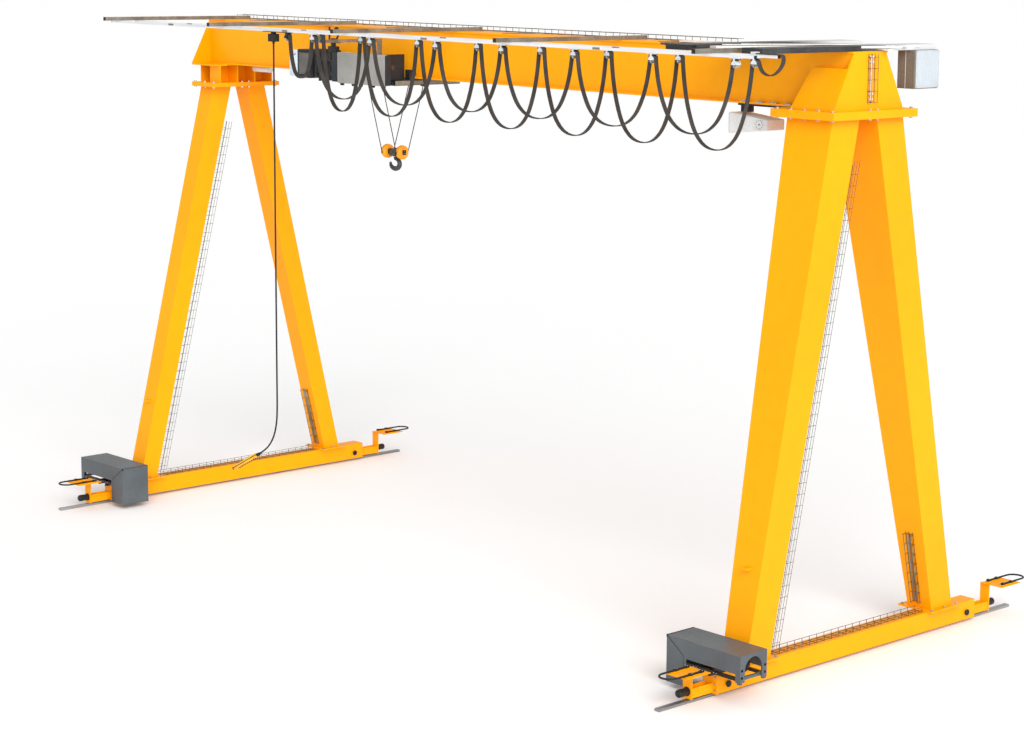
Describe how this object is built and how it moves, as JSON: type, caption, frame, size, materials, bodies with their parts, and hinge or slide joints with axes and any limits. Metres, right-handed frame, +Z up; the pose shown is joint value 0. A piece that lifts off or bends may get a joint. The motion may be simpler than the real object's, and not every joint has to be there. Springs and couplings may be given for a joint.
{
  "type": "gantry crane",
  "caption": "Single-girder A-frame gantry crane on ground rails with an underslung wire-rope hoist, cable festoons and a hanging control pendant.",
  "frame": {"origin": "on the ground midway between the two rails and midway along the sill beams", "axes": "+X along the girder towards the rigid legs, +Y along the rails away from the festoons, +Z up"},
  "size_m": [13.1, 6.2614, 6.955],
  "materials": {
    "crane_paint": "gloss paint, orange yellow",
    "rail_steel": "worn rail steel",
    "wheel_iron": "cast, turned tread",
    "hoist_dark": "satin black grey paint",
    "hoist_light": "satin light grey paint",
    "drum_steel": "greased steel",
    "block_paint": "worn orange paint",
    "hook_steel": "forged, dark",
    "rope_steel": "wire rope",
    "cover_grey": "satin charcoal paint",
    "frame_black": "satin black paint",
    "motor_paint": "gloss yellow paint",
    "galvanised": "weathered zinc",
    "tray_zinc": "bright zinc wire",
    "rail_aluminium": "pale aluminium",
    "cable_rubber": "matte charcoal rubber",
    "saddle_white": "white moulded",
    "trim_black": "black moulded",
    "cabinet_grey": "light blue grey",
    "duct_dark": "dark grey",
    "lamp_white": "white",
    "pendant_yellow": "yellow moulded",
    "bolt_zinc": "zinc plated"
  },
  "bodies": {
    "runway": {"rail_left": "rail_steel", "rail_right": "rail_steel"},
    "gantry": {"sill_left": "crane_paint", "sill_right": "crane_paint", "leg_left_near": "crane_paint", "leg_left_far": "crane_paint", "leg_right_near": "crane_paint", "leg_right_far": "crane_paint", "head_plates_right": "crane_paint", "head_plate_left": "crane_paint", "yoke_left": "crane_paint", "girder_bottom_flange": "crane_paint", "girder_top_flange": "crane_paint", "girder_webs": "crane_paint", "girder_ends": "crane_paint", "haunches": "crane_paint", "head_bolts": "bolt_zinc", "festoon_arms": "galvanised", "arm_end_caps": "trim_black", "pendant_rail": "rail_aluminium", "supply_rail": "rail_aluminium", "pendant_carriers": "saddle_white", "supply_cable": "cable_rubber", "pendant_cable": "cable_rubber", "pendant_trolley": "trim_black", "pendant_cord": "trim_black", "control_pendant": "pendant_yellow", "buffer_brackets": "crane_paint", "buffers": "trim_black", "signal_loops": "trim_black", "motor_covers": "cover_grey", "cover_frames": "frame_black", "travel_motors": "motor_paint", "leg_trays": "tray_zinc", "girder_trays": "tray_zinc", "control_cabinet": "cabinet_grey", "cable_ducts": "duct_dark", "floodlights": "lamp_white", "lamp_bracket": "frame_black"},
    "trolley": {"trolley_frame": "hoist_dark", "trolley_rollers": "wheel_iron", "hoist_gearbox": "hoist_light", "hoist_panel": "hoist_dark", "hoist_panel_cover": "hoist_light", "tow_arm": "galvanised", "hoist_ropes": "rope_steel"},
    "drum": {"hoist_drum": "drum_steel"},
    "hook_block": {"hook_crosshead": "hoist_dark", "sheave_housings": "block_paint"},
    "load_hook": {"hook": "hook_steel"},
    "wheel_left_near": {"wheel_left_near": "wheel_iron"},
    "wheel_left_far": {"wheel_left_far": "wheel_iron"},
    "wheel_right_near": {"wheel_right_near": "wheel_iron"},
    "wheel_right_far": {"wheel_right_far": "wheel_iron"},
    "carrier_1": {"supply_carrier_1": "saddle_white"},
    "carrier_2": {"supply_carrier_2": "saddle_white"},
    "carrier_3": {"supply_carrier_3": "saddle_white"},
    "carrier_4": {"supply_carrier_4": "saddle_white"},
    "carrier_5": {"supply_carrier_5": "saddle_white"},
    "carrier_6": {"supply_carrier_6": "saddle_white"}
  },
  "joints": [
    {"name": "long_travel", "type": "slide", "parent": "runway", "child": "gantry", "axis": [0, 1, 0], "range_m": [-0.8, 0.8]},
    {"name": "wheel_left_near_roll", "type": "hinge", "parent": "gantry", "child": "wheel_left_near", "pos_m": [-6, -2.09, 0.1302], "axis": [1, 0, 0], "continuous": true},
    {"name": "wheel_left_far_roll", "type": "hinge", "parent": "gantry", "child": "wheel_left_far", "pos_m": [-6, 2.09, 0.1302], "axis": [1, 0, 0], "continuous": true},
    {"name": "wheel_right_near_roll", "type": "hinge", "parent": "gantry", "child": "wheel_right_near", "pos_m": [6, -2.09, 0.1302], "axis": [1, 0, 0], "continuous": true},
    {"name": "wheel_right_far_roll", "type": "hinge", "parent": "gantry", "child": "wheel_right_far", "pos_m": [6, 2.09, 0.1302], "axis": [1, 0, 0], "continuous": true},
    {"name": "cross_travel", "type": "slide", "parent": "gantry", "child": "trolley", "axis": [1, 0, 0], "range_m": [-1.5, 4], "deforming": ["supply_cable"]},
    {"name": "carrier_1_slide", "type": "slide", "parent": "gantry", "child": "carrier_1", "axis": [1, 0, 0], "range_m": [-0.0908, 0.2387]},
    {"name": "carrier_2_slide", "type": "slide", "parent": "gantry", "child": "carrier_2", "axis": [1, 0, 0], "range_m": [-0.3182, 0.8451]},
    {"name": "carrier_3_slide", "type": "slide", "parent": "gantry", "child": "carrier_3", "axis": [1, 0, 0], "range_m": [-0.626, 1.666]},
    {"name": "carrier_4_slide", "type": "slide", "parent": "gantry", "child": "carrier_4", "axis": [1, 0, 0], "range_m": [-0.956, 2.546]},
    {"name": "carrier_5_slide", "type": "slide", "parent": "gantry", "child": "carrier_5", "axis": [1, 0, 0], "range_m": [-1.2499, 3.3296]},
    {"name": "carrier_6_slide", "type": "slide", "parent": "gantry", "child": "carrier_6", "axis": [1, 0, 0], "range_m": [-1.4494, 3.8616]},
    {"name": "hoist", "type": "slide", "parent": "trolley", "child": "hook_block", "axis": [0, 0, 1], "range_m": [-4.5, 0.5], "deforming": ["hoist_ropes"]},
    {"name": "drum_turn", "type": "hinge", "parent": "trolley", "child": "drum", "pos_m": [-2.22, -0.6, 6.395], "axis": [1, 0, 0], "continuous": true},
    {"name": "hook_swivel", "type": "hinge", "parent": "hook_block", "child": "load_hook", "pos_m": [-2.175, -0.05, 5.2], "axis": [0, 0, 1], "continuous": true}
  ],
  "couplings": [
    {"joint": "wheel_left_near_roll", "follows": "long_travel", "rad_per_m": -10},
    {"joint": "wheel_left_far_roll", "follows": "long_travel", "rad_per_m": -10},
    {"joint": "wheel_right_near_roll", "follows": "long_travel", "rad_per_m": -10},
    {"joint": "wheel_right_far_roll", "follows": "long_travel", "rad_per_m": -10},
    {"joint": "carrier_1_slide", "follows": "cross_travel", "ratio": 0.05917},
    {"joint": "carrier_2_slide", "follows": "cross_travel", "ratio": 0.21079},
    {"joint": "carrier_3_slide", "follows": "cross_travel", "ratio": 0.41601},
    {"joint": "carrier_4_slide", "follows": "cross_travel", "ratio": 0.63599},
    {"joint": "carrier_5_slide", "follows": "cross_travel", "ratio": 0.83191},
    {"joint": "carrier_6_slide", "follows": "cross_travel", "ratio": 0.9649},
    {"joint": "drum_turn", "follows": "hoist", "rad_per_m": 13.889}
  ]
}
